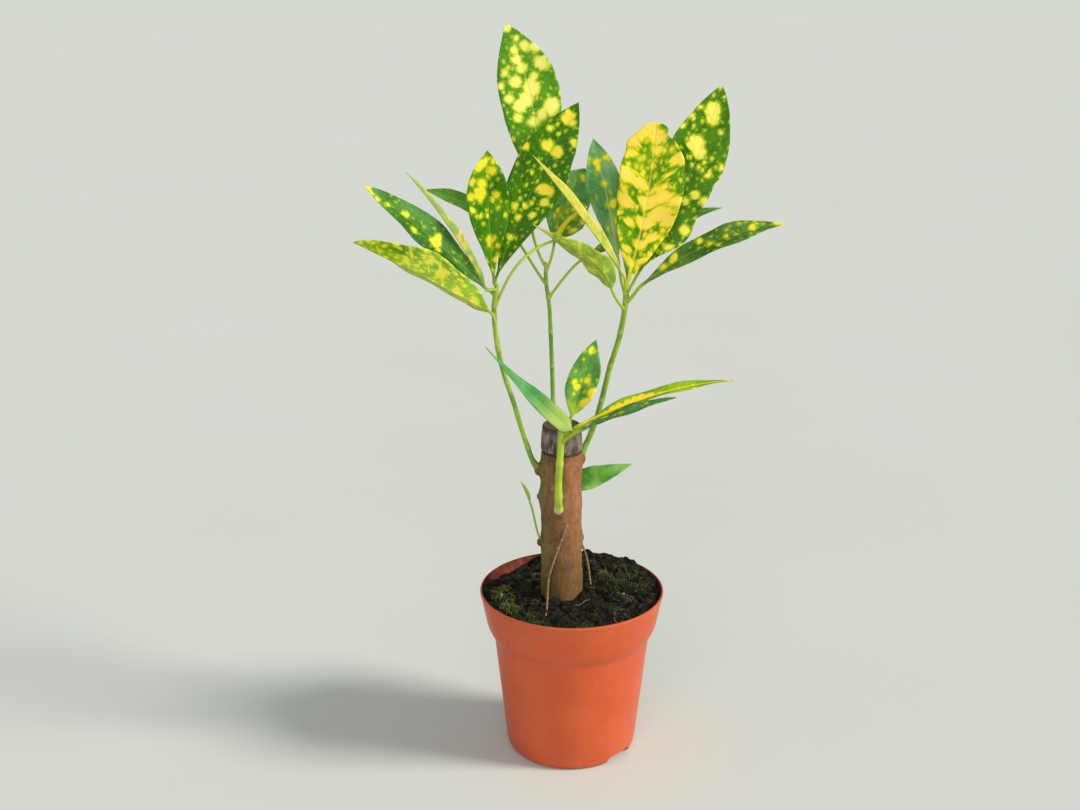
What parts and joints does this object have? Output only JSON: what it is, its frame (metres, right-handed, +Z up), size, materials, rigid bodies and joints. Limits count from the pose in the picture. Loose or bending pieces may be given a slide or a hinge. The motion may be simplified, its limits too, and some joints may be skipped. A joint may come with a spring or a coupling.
{
  "type": "potted croton",
  "caption": "Young croton with yellow-blotched green leaves on thin shoots from a thick woody cutting, in a flared plastic nursery pot that stands on its base.",
  "frame": {"origin": "centre of the pot's underside", "axes": "+Z up along the pot's axis, -Y towards the side seen in the picture, +X to that side's right"},
  "size_m": [0.2612, 0.12, 0.4712],
  "materials": {
    "pot": "satin",
    "soil": "matte",
    "bark": "matte",
    "stem": "satin",
    "leaf": "satin",
    "pale_leaf": "satin"
  },
  "bodies": {
    "root": {"pot": "pot", "soil": "soil", "trunk": "bark", "left_stem": "stem", "centre_stem": "stem", "right_stem": "stem", "front_stem": "stem", "left_leaf_1": "leaf", "left_leaf_2": "leaf", "left_leaf_3": "pale_leaf", "left_leaf_4": "leaf", "left_leaf_5": "leaf", "left_leaf_6": "leaf", "centre_leaf_1": "leaf", "centre_leaf_2": "leaf", "centre_leaf_3": "leaf", "centre_leaf_4": "leaf", "right_leaf_1": "pale_leaf", "right_leaf_2": "leaf", "right_leaf_3": "pale_leaf", "right_leaf_4": "leaf", "right_leaf_5": "leaf", "right_leaf_6": "leaf", "front_leaf_1": "leaf", "front_leaf_2": "leaf", "front_leaf_3": "leaf", "front_leaf_4": "leaf", "trunk_leaf_1": "leaf", "trunk_leaf_2": "leaf"}
  },
  "joints": []
}
